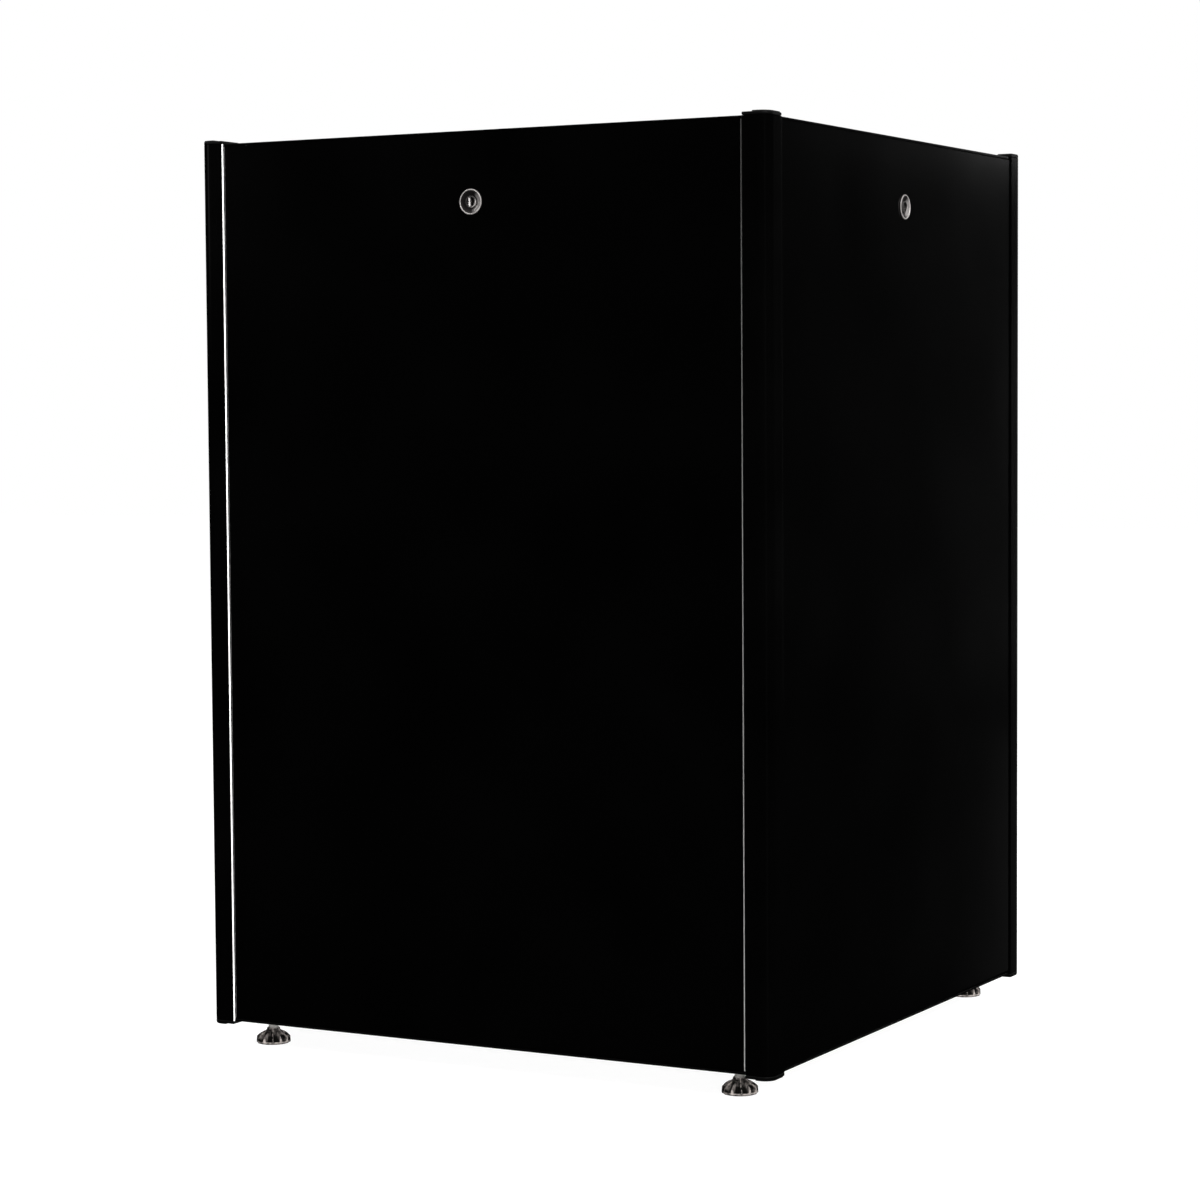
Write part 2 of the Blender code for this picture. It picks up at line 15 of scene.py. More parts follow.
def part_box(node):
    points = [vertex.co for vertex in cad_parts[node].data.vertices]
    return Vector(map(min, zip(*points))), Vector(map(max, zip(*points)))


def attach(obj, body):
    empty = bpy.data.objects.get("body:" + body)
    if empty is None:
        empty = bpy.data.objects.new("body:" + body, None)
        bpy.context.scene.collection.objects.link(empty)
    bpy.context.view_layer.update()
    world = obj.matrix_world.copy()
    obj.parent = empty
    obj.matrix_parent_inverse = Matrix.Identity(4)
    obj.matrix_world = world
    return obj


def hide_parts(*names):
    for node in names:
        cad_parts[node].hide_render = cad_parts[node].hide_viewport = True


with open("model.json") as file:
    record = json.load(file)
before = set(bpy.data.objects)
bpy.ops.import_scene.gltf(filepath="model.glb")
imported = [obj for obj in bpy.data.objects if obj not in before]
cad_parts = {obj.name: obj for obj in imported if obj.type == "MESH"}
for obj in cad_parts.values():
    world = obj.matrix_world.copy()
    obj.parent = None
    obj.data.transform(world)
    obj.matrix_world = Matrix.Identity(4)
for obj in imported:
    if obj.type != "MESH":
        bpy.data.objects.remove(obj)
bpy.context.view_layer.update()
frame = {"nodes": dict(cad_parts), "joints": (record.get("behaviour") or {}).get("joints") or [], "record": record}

NODES = frame["nodes"]
JOINTS = {joint["name"]: joint for joint in frame["joints"]}
BODY_OF = {n: body for body, ns in frame["record"]["behaviour"]["bodies"].items() for n in ns}
SLOT_OF = {part["node"]: part["material_slot"] for part in frame["record"]["subparts"]}
CORNERS = {
    "rear_left": (1, -1),
    "rear_right": (-1, -1),
    "front_left": (1, 1),
    "front_right": (-1, 1),
}
MM = 0.001
CAD_HALF = 0.300
GAP = 0.3 * MM


# ---------------------------------------------------------------- camera, world, lights, floor

CAMERA_AZIMUTH = 28.736
CAMERA_ELEVATION = 3.492
CAMERA_ROLL = -0.382
CAMERA_DISTANCE = 3.1619
CAMERA_RIGHT = -0.02869
CAMERA_UP = -0.02350
CAMERA_LENS = 95.02
AIM_HEIGHT = 0.44485


def make_camera():
    angles = (CAMERA_AZIMUTH, CAMERA_ELEVATION, CAMERA_ROLL)
    azimuth, elevation, roll = map(math.radians, angles)
    flat = math.cos(elevation)
    back = Vector((math.sin(azimuth) * flat, -math.cos(azimuth) * flat, math.sin(elevation)))
    right = Vector((math.cos(azimuth), math.sin(azimuth), 0))
    up = back.cross(right)
    aim = Vector((0, 0, AIM_HEIGHT))
    place = aim + back * CAMERA_DISTANCE + right * CAMERA_RIGHT + up * CAMERA_UP
    rolled_right = right * math.cos(roll) + up * math.sin(roll)
    rolled_up = up * math.cos(roll) - right * math.sin(roll)
    data = bpy.data.cameras.new("camera")
    data.lens = CAMERA_LENS
    data.sensor_width = 36
    camera = bpy.data.objects.new("camera", data)
    bpy.context.scene.collection.objects.link(camera)
    turn = Matrix((rolled_right, rolled_up, back)).transposed()
    camera.matrix_world = Matrix.Translation(place) @ turn.to_4x4()
    bpy.context.scene.camera = camera


def add_node(tree, kind, inputs=None, **settings):
    made = tree.nodes.new(kind)
    for key, value in settings.items():
        setattr(made, key, value)
    for key, value in (inputs or {}).items():
        if isinstance(value, bpy.types.NodeSocket):
            tree.links.new(value, made.inputs[key])
        else:
            made.inputs[key].default_value = value
    return made


# The unseen sky's strength low down and high up, and the heights between which it rises, where the
# horizon is 0 and straight up is 1.
SKY_TONES = (0.003, 0.55)
SKY_HEIGHTS = (0.15, 0.85)


def make_world():
    """White to the camera. Surfaces see a dark horizon under a soft grey sky."""
    scene = bpy.context.scene
    scene.view_settings.view_transform = "Standard"
    world = bpy.data.worlds.new("studio")
    scene.world = world
    world.use_nodes = True
    tree = world.node_tree
    tree.nodes.clear()
    path = add_node(tree, "ShaderNodeLightPath")
    direction = add_node(tree, "ShaderNodeTexCoord").outputs["Generated"]
    height = add_node(tree, "ShaderNodeSeparateXYZ", {0: direction}).outputs["Z"]
    levels = {"Value": height}
    levels["From Min"], levels["From Max"] = SKY_HEIGHTS
    levels["To Min"], levels["To Max"] = SKY_TONES
    sky = add_node(tree, "ShaderNodeMapRange", levels, interpolation_type="SMOOTHSTEP")
    unseen = add_node(tree, "ShaderNodeBackground", {"Strength": sky.outputs[0]})
    backdrop = add_node(tree, "ShaderNodeBackground", {"Strength": 1.0})
    for background in (unseen, backdrop):
        background.inputs["Color"].default_value = (1, 1, 1, 1)
    shown = add_node(
        tree,
        "ShaderNodeMixShader",
        {0: path.outputs["Is Camera Ray"], 1: unseen.outputs[0], 2: backdrop.outputs[0]},
    )
    add_node(tree, "ShaderNodeOutputWorld", {"Surface": shown.outputs[0]})


# Each softbox: name, compass angle from the rear (-Y) towards +X, angle above the horizon, distance,
# size, watts, and whether it is mirrored. A mirrored one only adds its reflection. Any other only
# lights matt surfaces.
LIGHTS = (
    ("key", 64, 30, 3.4, (1.4, 1.4), 290, False),
    ("low_key", 40, 3, 3.4, (1.0, 0.4), 60, False),
    ("fill", -52, 36, 3.2, (1.6, 1.6), 150, False),
    ("front_key", 218, 38, 3.2, (1.6, 1.6), 170, False),
    ("far_strip", 163.5, 3, 3.4, (0.5, 1.2), 0.9, True),
    ("far_strip_top", 160.5, 17, 3.4, (0.5, 0.7), 1.2, True),
    ("far_strip_low", 160.5, -13, 3.4, (0.5, 0.6), 0.07, True),
    ("left_strip", -49, 18, 3.4, (1.0, 1.2), 1.8, True),
    ("corner_strip", 50, 4, 3.0, (0.25, 2.4), 0.3, True),
    ("front_strip", 200, 9, 3.4, (0.9, 2.2), 1.6, True),
    ("top_box", 62, 46, 3.2, (1.2, 1.2), 14, True),
)


def add_light(name, azimuth, elevation, distance, size, power, mirrored):
    """A softbox that faces the cabinet."""
    data = bpy.data.lights.new(name, "AREA")
    data.shape = "RECTANGLE"
    data.size, data.size_y = size
    data.energy = power
    lamp = bpy.data.objects.new(name, data)
    bpy.context.scene.collection.objects.link(lamp)
    turn, rise = math.radians(azimuth), math.radians(elevation)
    away = Vector(
        (math.sin(turn) * math.cos(rise), -math.cos(turn) * math.cos(rise), math.sin(rise))
    )
    lamp.location = Vector((0, 0, AIM_HEIGHT)) + away * distance
    lamp.rotation_euler = (-away).to_track_quat("-Z", "Y").to_euler()
    lamp.visible_camera = False
    lamp.visible_glossy = mirrored
    lamp.visible_diffuse = not mirrored


def make_lights():
    for light in LIGHTS:
        add_light(*light)


FLOOR_REACH = 12
FLOOR_DROP = 0.2 * MM
FLOOR_TONE = 0.10
FLOOR_GLOW = 0.97


def make_floor():
    mesh = bpy.data.meshes.new("floor")
    bm = bmesh.new()
    bmesh.ops.create_grid(bm, x_segments=8, y_segments=8, size=FLOOR_REACH)
    bm.to_mesh(mesh)
    bm.free()
    floor = bpy.data.objects.new("floor", mesh)
    bpy.context.scene.collection.objects.link(floor)
    floor.location.z = -FLOOR_DROP
    material = bpy.data.materials.new("pale_floor")
    material.use_nodes = True
    shader = material.node_tree.nodes["Principled BSDF"]
    shader.inputs["Base Color"].default_value = (FLOOR_TONE, FLOOR_TONE, FLOOR_TONE, 1)
    shader.inputs["Roughness"].default_value = 0.95
    shader.inputs["Specular IOR Level"].default_value = 0.1
    shader.inputs["Emission Color"].default_value = (1, 1, 1, 1)
    shader.inputs["Emission Strength"].default_value = FLOOR_GLOW
    mesh.materials.append(material)
    floor.visible_glossy = False
    floor.visible_shadow = False


make_camera()
make_world()
make_lights()
make_floor()


# ---------------------------------------------------------------- materials


def graph(name, metallic=0.0, specular=0.5, **constants):
    """A new material, with its numbers that are the same everywhere set on the shader itself."""
    material = bpy.data.materials.new(name)
    material.use_nodes = True
    tree = material.node_tree
    shader = tree.nodes["Principled BSDF"]
    shader.inputs["Metallic"].default_value = metallic
    shader.inputs["Specular IOR Level"].default_value = specular
    for key, value in constants.items():
        shader.inputs[key.replace("_", " ")].default_value = value
    place = add_node(tree, "ShaderNodeTexCoord").outputs["Object"]
    return material, tree, shader, place


def stretched(tree, place, scale):
    return add_node(tree, "ShaderNodeMapping", {"Vector": place, "Scale": scale}).outputs[0]


def noise(tree, place, scale, detail=2.0):
    settings = {"Vector": place, "Scale": scale, "Detail": detail}
    return add_node(tree, "ShaderNodeTexNoise", settings).outputs[0]


def spread(tree, value, low, high, start=0.3, end=0.7):
    """A value between two levels of a noise, turned into a range."""
    levels = {"Value": value, "From Min": start, "From Max": end, "To Min": low, "To Max": high}
    return add_node(tree, "ShaderNodeMapRange", levels).outputs[0]


def blended(tree, factor, first, second):
    mix = add_node(tree, "ShaderNodeMix", {0: factor}, data_type="RGBA")
    for socket, value in ((mix.inputs[6], first), (mix.inputs[7], second)):
        if isinstance(value, bpy.types.NodeSocket):
            tree.links.new(value, socket)
        else:
            socket.default_value = (*value, 1)
    return mix.outputs[2]


def combined(tree, first, second, operation="ADD"):
    return add_node(tree, "ShaderNodeMath", {0: first, 1: second}, operation=operation).outputs[0]


def bumped(tree, shader, height, distance, strength=1.0):
    settings = {"Height": height, "Distance": distance, "Strength": strength}
    bump = add_node(tree, "ShaderNodeBump", settings)
    tree.links.new(bump.outputs[0], shader.inputs["Normal"])


def painted(name, colour, gloss, grain, stretch=(1, 1, 1), specular=0.5):
    """Powder coat: a fine orange peel, cloudy gloss and a little dust."""
    material, tree, shader, place = graph(name, 0.0, specular)
    along = stretched(tree, place, stretch)
    cloud = noise(tree, place, 7.0, 3.0)
    peel = noise(tree, along, grain, 1.0)
    dust = noise(tree, place, 1700.0, 0.0)
    dusty = combined(tree, spread(tree, dust, 0, 1, 0.72, 0.78), cloud, "MULTIPLY")
    base = blended(tree, spread(tree, cloud, 0, 1), colour[0], colour[1])
    tint = blended(tree, combined(tree, dusty, 0.10, "MULTIPLY"), base, (0.01, 0.01, 0.0095))
    tree.links.new(tint, shader.inputs["Base Color"])
    rough = combined(tree, spread(tree, cloud, *gloss), spread(tree, peel, -0.01, 0.01))
    tree.links.new(rough, shader.inputs["Roughness"])
    bumped(tree, shader, peel, 0.00002)
    return material


FADE_HEIGHT = 0.86


def plated(name, colour, gloss, grain, stretch=(1, 1, 1), metallic=1.0, shade_tone=None, foot=None):
    """Bright plating or bare metal, with a spangle of slightly different tones and brushing.

    Where foot is given, the metal takes that tone at the cabinet's foot and fades from it upwards: a painted glow
    from the floor.
    Where sunk is given, the parts of the mesh without the "wear" attribute take that darker tone, which on the
    locks is painted shade in the dish.
    """
    material, tree, shader, place = graph(name, metallic)
    along = stretched(tree, place, stretch)
    lines = noise(tree, along, grain, 3.0)
    cells = add_node(tree, "ShaderNodeTexVoronoi", {"Vector": place, "Scale": 160.0})
    tone = combined(tree, cells.outputs["Color"], lines, "MULTIPLY")
    tint = blended(tree, spread(tree, tone, 0, 1, 0.1, 0.6), colour[0], colour[1])
    # Painted glow: lighter towards the cabinet's foot, standing in for light from the floor.
    if foot:
        height = add_node(tree, "ShaderNodeSeparateXYZ", {0: place}).outputs["Z"]
        tint = blended(tree, spread(tree, height, 1.0, 0.0, 0.0, FADE_HEIGHT), tint, foot)
    # Painted shade: where the "wear" value is low the metal takes the darker tone.
    if shade_tone:
        wear_and_painted_light = add_node(tree, "ShaderNodeAttribute", attribute_name="wear_and_painted_light").outputs["Fac"]
        tint = blended(tree, wear_and_painted_light, shade_tone, tint)
    tree.links.new(tint, shader.inputs["Base Color"])
    tree.links.new(spread(tree, lines, *gloss), shader.inputs["Roughness"])
    bumped(tree, shader, lines, 0.00001)
    return material


def moulded(name, colour, gloss, grain, depth):
    """Plastic or rubber with a fine spark-eroded texture."""
    material, tree, shader, place = graph(name)
    grit = noise(tree, place, grain, 2.0)
    cloud = noise(tree, place, 30.0, 2.0)
    tint = blended(tree, spread(tree, cloud, 0, 1), colour[0], colour[1])
    tree.links.new(tint, shader.inputs["Base Color"])
    tree.links.new(spread(tree, grit, *gloss), shader.inputs["Roughness"])
    bumped(tree, shader, grit, depth)
    return material


def cast_metal():
    """Dark die casting, its raised edges rubbed brighter where the mesh says so."""
    material, tree, shader, place = graph("dark_casting", 0.3)
    wear_and_painted_light = add_node(tree, "ShaderNodeAttribute", attribute_name="wear_and_painted_light").outputs["Fac"]
    grit = noise(tree, place, 900.0, 3.0)
    blot = noise(tree, place, 210.0, 2.0)
    wear_and_highlight = combined(tree, wear_and_painted_light, spread(tree, blot, 0.0, 1.5, 0.38, 0.62), "MULTIPLY")
    dark = blended(tree, spread(tree, blot, 0, 1), (0.003, 0.0026, 0.0022), (0.010, 0.009, 0.008))
    tint = blended(tree, wear_and_highlight, dark, (0.90, 0.81, 0.76))
    tree.links.new(tint, shader.inputs["Base Color"])
    tree.links.new(spread(tree, grit, 0.32, 0.52), shader.inputs["Roughness"])
    bumped(tree, shader, grit, 0.00006)
    return material


GLASS_BORDER = 0.026


def smoked_glass():
    """Smoked glass with a black printed border that hides its edge."""
    material, tree, shader, place = graph("tinted_glass", 0.0, 0.5, IOR=1.48)
    low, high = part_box("door_glass")
    apart = add_node(tree, "ShaderNodeSeparateXYZ", {0: place})
    edges = []
    for axis, index in (("X", 0), ("Z", 2)):
        middle = (low[index] + high[index]) / 2
        half = (high[index] - low[index]) / 2 - GLASS_BORDER
        off = combined(tree, apart.outputs[axis], middle, "SUBTRACT")
        size = add_node(tree, "ShaderNodeMath", {0: off}, operation="ABSOLUTE").outputs[0]
        edges.append(combined(tree, size, half, "GREATER_THAN"))
    border = combined(tree, *edges, "MAXIMUM")
    film = noise(tree, place, 18.0, 3.0)
    clear = blended(tree, spread(tree, film, 0, 1), (0.49, 0.505, 0.505), (0.51, 0.525, 0.525))
    tree.links.new(blended(tree, border, clear, (0.004, 0.004, 0.004)), shader.inputs["Base Color"])
    tree.links.new(combined(tree, 1.0, border, "SUBTRACT"), shader.inputs["Transmission Weight"])
    tree.links.new(spread(tree, film, 0.02, 0.05), shader.inputs["Roughness"])
    return material


# Each finish has a name, two tones, a range of roughness and a scale of grain, then whatever sets it
# apart. The grain of drawn and brushed metal is stretched upwards.
DRAWN_UP = (1, 1, 0.02)
BRUSHED_UP = (1, 1, 0.03)
PAINT = painted(
    "black_paint", ((0.00012, 0.00012, 0.00012), (0.0003, 0.0003, 0.0003)), (0.125, 0.140), 700
)
EXTRUSION = painted(
    "black_extrusion",
    ((0.00015, 0.00015, 0.00015), (0.0004, 0.0004, 0.0004)),
    (0.13, 0.18),
    420,
    DRAWN_UP,
    specular=0.2,
)
PLASTIC = moulded(
    "black_plastic",
    ((0.0003, 0.0003, 0.0003), (0.0007, 0.0007, 0.0007)),
    (0.34, 0.48),
    2600,
    0.04 * MM,
)
RUBBER = moulded(
    "black_rubber", ((0.006, 0.006, 0.006), (0.012, 0.012, 0.012)), (0.6, 0.8), 1500, 0.03 * MM
)
# The lock metal: its dark tone where the "wear" value is low is painted shade in the dish, and its bright tone on
# the rim is a painted highlight.
CHROME = plated(
    "lock_metal",
    ((0.34, 0.32, 0.312), (0.47, 0.446, 0.434)),
    (0.26, 0.38),
    900,
    metallic=0.6,
    shade_tone=(0.008, 0.007, 0.007),
)
# A lighter copy of the lock metal: a painted highlight on the flat wall of the plug's recess.
HIGHLIGHT_METAL = plated(
    "painted_highlight_wall", ((0.72, 0.69, 0.68), (0.86, 0.83, 0.81)), (0.22, 0.32), 900, metallic=0.4
)
ZINC = plated(
    "zinc_plate", ((0.66, 0.64, 0.61), (0.84, 0.82, 0.79)), (0.26, 0.42), 500, metallic=0.5
)
BARE = plated(
    "bare_edge",
    ((0.93, 0.93, 0.93), (0.98, 0.98, 0.98)),
    (0.40, 0.55),
    260,
    BRUSHED_UP,
    metallic=0.05,
)
# The panels' returns: bare metal painted much darker than the post walls as painted shade in the narrow gap, with
# a painted floor glow at the foot that fades upwards.
SHADED_RETURN = plated(
    "shaded_bare_return",
    ((0.025, 0.025, 0.024), (0.05, 0.05, 0.048)),
    (0.4, 0.55),
    260,
    BRUSHED_UP,
    metallic=0.1,
    foot=(0.46, 0.46, 0.45),
)
CAST = cast_metal()
GLASS = smoked_glass()
FINISH = {
    "black_paint": PAINT,
    "black_plastic": PLASTIC,
    "lock_metal": CHROME,
    "zinc_plate": ZINC,
    "dark_casting": CAST,
    "tinted_glass": GLASS,
}
for node_name, cad in NODES.items():
    cad.data.materials.clear()
    cad.data.materials.append(FINISH[SLOT_OF[node_name]])


# ---------------------------------------------------------------- mesh helpers


def mesh_from(name, bm, crease=35.0):
    bmesh.ops.recalc_face_normals(bm, faces=bm.faces)
    mesh = bpy.data.meshes.new(name)
    bm.to_mesh(mesh)
    bm.free()
    mesh.shade_smooth()
    mesh.set_sharp_from_angle(angle=math.radians(crease))
    return mesh


def bm_from(obj):
    """The object's shape with its modifiers or curve evaluated; the object itself is used up."""
    bpy.context.view_layer.update()
    evaluated = obj.evaluated_get(bpy.context.evaluated_depsgraph_get())
    mesh = bpy.data.meshes.new_from_object(evaluated)
    mesh.transform(obj.matrix_world)
    bm = bmesh.new()
    bm.from_mesh(mesh)
    bmesh.ops.remove_doubles(bm, verts=bm.verts, dist=1e-7)
    bpy.data.meshes.remove(mesh)
    bpy.data.objects.remove(obj, do_unlink=True)
    return bm


def loose(name, data):
    obj = bpy.data.objects.new(name, data)
    bpy.context.scene.collection.objects.link(obj)
    return obj


def raised(loops, low, high, rounding=0.0, steps=2):
    """A flat outline, with further loops as holes, raised from low to high along Z."""
    curve = bpy.data.curves.new("outline", "CURVE")
    curve.dimensions = "2D"
    curve.fill_mode = "BOTH"
    curve.extrude = (high - low) / 2 - rounding
    curve.bevel_depth = rounding
    curve.bevel_resolution = steps
    curve.offset = -rounding
    for loop in loops:
        spline = curve.splines.new("POLY")
        spline.points.add(len(loop) - 1)
        for point, (x, y) in zip(spline.points, loop):
            point.co = (x, y, 0, 1)
        spline.use_cyclic_u = True
    obj = loose("outline", curve)
    obj.location.z = (low + high) / 2
    return bm_from(obj)


def boxed(low, high):
    bm = bmesh.new()
    made = bmesh.ops.create_cube(bm, size=1)
    for vert in made["verts"]:
        for axis in range(3):
            middle = (low[axis] + high[axis]) / 2
            vert.co[axis] = middle + vert.co[axis] * (high[axis] - low[axis])
    return bm


def lathed(profile, steps=64, closed=False):
    """A profile of (radius, height, wear) points spun about Z; wear may be left out. On the locks the wear value
    is painted light: high for a painted highlight, low for painted shade.
    """
    bm = bmesh.new()
    wear_and_painted_light = bm.verts.layers.float.new("wear_and_painted_light")
    rings = []
    for radius, height, *wear_and_light_level in profile:
        count = steps if radius > 1e-7 else 1
        ring = []
        for step in range(count):
            angle = 2 * math.pi * step / count
            vert = bm.verts.new((radius * math.cos(angle), radius * math.sin(angle), height))
            vert[wear_and_painted_light] = wear_and_light_level[0] if wear_and_light_level else 1.0
            ring.append(vert)
        rings.append(ring)
    pairs = list(zip(rings, rings[1:]))
    if closed:
        pairs.append((rings[-1], rings[0]))
    for first, second in pairs:
        bridge(bm, first, second)
    return bm


def bridge(bm, first, second):
    count = max(len(first), len(second))
    for step in range(count):
        after = (step + 1) % count
        corners = [first[step % len(first)], first[after % len(first)]]
        corners += [second[after % len(second)], second[step % len(second)]]
        kept = []
        for vert in corners:
            if vert not in kept:
                kept.append(vert)
        if len(kept) > 2:
            bm.faces.new(kept)


def arc(centre, radius, start, end, count):
    points = []
    for step in range(count + 1):
        angle = math.radians(start + (end - start) * step / count)
        points.append((centre[0] + radius * math.cos(angle), centre[1] + radius * math.sin(angle)))
    return points


def smooth(value):
    """An S-shaped rise from 0 to 1, flat outside that range."""
    value = min(1.0, max(0.0, value))
    return value * value * (3 - 2 * value)


def joined(parts):
    """Several shapes as one, each part (bmesh, matrix or None)."""
    whole = bmesh.new()
    for bm, matrix in parts:
        if matrix is not None:
            bm.transform(matrix)
        mesh = bpy.data.meshes.new("part")
        bm.to_mesh(mesh)
        bm.free()
        whole.from_mesh(mesh)
        bpy.data.meshes.remove(mesh)
    return whole


def carved(bm, tools, operation="DIFFERENCE"):
    """The shape with each tool cut away from it, or added to it, one after another."""
    obj = loose("carved", mesh_from("carved", bm))
    helpers = []
    for tool in tools:
        helper = loose("tool", mesh_from("tool", tool))
        helpers.append(helper)
        modifier = obj.modifiers.new("cut", "BOOLEAN")
        modifier.operation = operation
        modifier.solver = "EXACT"
        modifier.object = helper
    result = bm_from(obj)
    for helper in helpers:
        bpy.data.objects.remove(helper, do_unlink=True)
    return result


def cad_shape(node_name):
    """A CAD node's shape as clean flat faces."""
    bm = bmesh.new()
    bm.from_mesh(NODES[node_name].data)
    bmesh.ops.remove_doubles(bm, verts=bm.verts, dist=1e-6)
    angle = math.radians(0.5)
    bmesh.ops.dissolve_limit(bm, angle_limit=angle, verts=bm.verts, edges=bm.edges)
    return bm


def add_bevel(obj, width, segments):
    bevel = obj.modifiers.new("edges", "BEVEL")
    bevel.width, bevel.segments = width, segments
    bevel.limit_method = "WEIGHT" if "bevel_weight_edge" in obj.data.attributes else "ANGLE"
    bevel.angle_limit = math.radians(30)


def rounded(bm, width, segments):
    """The shape with its sharp or weighted edges rounded."""
    obj = loose("rounded", mesh_from("rounded", bm))
    add_bevel(obj, width, segments)
    return bm_from(obj)


def piece(name, bm, materials, body, slot, nodes=(), matrix=None, crease=35.0, edge=None):
    """Adds a finished piece. edge=(width, segments) rounds every sharp edge that is left."""
    obj = loose(name, mesh_from(name, bm, crease))
    for material in materials if isinstance(materials, (list, tuple)) else [materials]:
        obj.data.materials.append(material)
    if matrix is not None:
        obj.matrix_world = matrix
    if edge:
        add_bevel(obj, *edge)
    obj.modifiers.new("normals", "WEIGHTED_NORMAL").keep_sharp = True
    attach(obj, body)
    if nodes:
        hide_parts(*nodes)
    return obj


def stand_in(node_name, bm, materials=None, **settings):
    """A better piece in place of one CAD node."""
    slot = SLOT_OF[node_name]
    name = f"{node_name}_shown"
    materials = materials or FINISH[slot]
    return piece(name, bm, materials, BODY_OF[node_name], slot, [node_name], **settings)


def weigh_edges(bm, weight_of):
    layer = bm.edges.layers.float.new("bevel_weight_edge")
    for edge in bm.edges:
        if len(edge.link_faces) == 2 and edge.calc_face_angle(0.0) > math.radians(25):
            edge[layer] = weight_of(edge)


def frame_at(joint_name):
    """A matrix at a joint, its Z against the joint's axis and its Y up, or along X if Z is up."""
    joint = JOINTS[joint_name]
    z = -Vector(joint["axis"]).normalized()
    y = Vector((0, 0, 1)) if abs(z.z) < 0.5 else Vector((1, 0, 0))
    turn = Matrix((y.cross(z), y, z)).transposed()
    return Matrix.Translation(joint["pos_m"]) @ turn.to_4x4()


# ---------------------------------------------------------------- posts and their caps

POST_X = 25.5 * MM
POST_Y = 27.6 * MM
POST_RADIUS = 11 * MM
POST_WALL = 2 * MM
POST_EDGE = 0.6 * MM
LIP_DEPTH = 18 * MM
LIP_THICK = 1.5 * MM
LIP_REACH = 10 * MM
PLATE = 2 * MM
CAP_PROUD = 4 * MM
CAP_PLUG = 12 * MM
BARE_DEPTH = 2.5 * MM


def in_plan(points, corner):
    """Points measured inward from a cabinet corner, turned into plan positions."""
    sign_x, sign_y = CORNERS[corner]
    return [(sign_x * (CAD_HALF - u), sign_y * (CAD_HALF - v)) for u, v in points]


def post_outer():
    points = arc((POST_RADIUS, POST_RADIUS), POST_RADIUS, 270, 180, 18)
    points += arc((POST_EDGE, POST_Y - POST_EDGE), POST_EDGE, 180, 90, 4) + [(POST_X, POST_Y)]
    return points + arc((POST_X - POST_EDGE, POST_EDGE), POST_EDGE, 0, -90, 4)


def post_hollow(clearance):
    wall = POST_WALL + clearance
    points = arc((POST_RADIUS, POST_RADIUS), POST_RADIUS - wall, 270, 180, 12)
    return points + [(wall, POST_Y - wall), (POST_X - wall, POST_Y - wall), (POST_X - wall, wall)]


def post_lips(corner, low, high):
    """The two lips that back the panels, with rounded edges, between the base and roof plates."""
    root, inner = POST_WALL / 2, LIP_DEPTH + LIP_THICK
    lips = []
    for near, far in (
        ((LIP_DEPTH, POST_Y - root), (inner, POST_Y + LIP_REACH)),
        ((POST_X - root, LIP_DEPTH), (POST_X + LIP_REACH, inner)),
    ):
        loop = in_plan([near, (far[0], near[1]), far, (near[0], far[1])], corner)
        lips.append(raised([loop], low + PLATE + GAP, high - PLATE - GAP, 0.3 * MM))
    return lips


def make_posts():
    """Posts, with the outer strip of the wall beside the rear panel or the door bare and bright."""
    for corner, (sign_x, sign_y) in CORNERS.items():
        low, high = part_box(f"corner_post_{corner}")
        loops = [in_plan(post_outer(), corner), in_plan(post_hollow(0), corner)]
        bm = carved(raised(loops, low.z, high.z), post_lips(corner, low.z, high.z), "UNION")
        edge_at = CAD_HALF - BARE_DEPTH
        bmesh.ops.bisect_plane(
            bm,
            geom=bm.verts[:] + bm.edges[:] + bm.faces[:],
            plane_co=(0, sign_y * edge_at, 0),
            plane_no=(0, 1, 0),
        )
        bm.normal_update()
        for face in bm.faces:
            middle = face.calc_center_median()
            at_gap = abs(abs(middle.x) - (CAD_HALF - POST_X)) < POST_EDGE
            if at_gap and face.normal.x * sign_x < -0.97 and abs(middle.y) > edge_at:
                face.material_index = 1
        stand_in(f"corner_post_{corner}", bm, [EXTRUSION, BARE])
        for end, body_end, outward in (("top", high.z, 1), ("bottom", low.z, -1)):
            make_cap(f"{end}_cap_{corner}", corner, body_end, outward)


def make_cap(node_name, corner, body_end, outward):
    """An end cap: a flange over the whole post, a crown set in from the panels, and a hollow plug."""

    def layer(points, near, far, rounding=0.0):
        ends = sorted((body_end + outward * near, body_end + outward * far))
        return raised([in_plan(points, corner)], *ends, rounding, 3)

    flange = layer(post_outer(), GAP, 3.0 * MM, 0.5 * MM)
    shrink = 0.25 * MM
    crown_plan = arc((POST_RADIUS, POST_RADIUS), POST_RADIUS - shrink, 270, 180, 18)
    crown_plan += arc((2.2 * MM, 24.4 * MM), 1.95 * MM, 180, 90, 4)
    crown_plan += arc((14.6 * MM, 24.9 * MM), 1.5 * MM, 90, 0, 4)
    crown_plan += arc((15.0 * MM, 1.4 * MM), 1.1 * MM, 0, -90, 4)
    crown = layer(crown_plan, 1.4 * MM, CAP_PROUD, 0.9 * MM)
    plug = layer(post_hollow(GAP), -CAP_PLUG, 1.2 * MM)
    stand_in(node_name, carved(flange, [crown, plug], "UNION"))


make_posts()


# ---------------------------------------------------------------- sheet-metal panels and frames

FACE_ROUNDING = 1.5 * MM
SHEET_ROUNDING = 0.25 * MM
PANEL_SHEET = 1.2 * MM
DOOR_SHEET = 1.5 * MM
HAT_HEIGHT = 11 * MM
HAT_CREST = 15 * MM
HAT_FOOT = 27 * MM
HAT_OFFSET = 135 * MM
HAT_END = 30 * MM


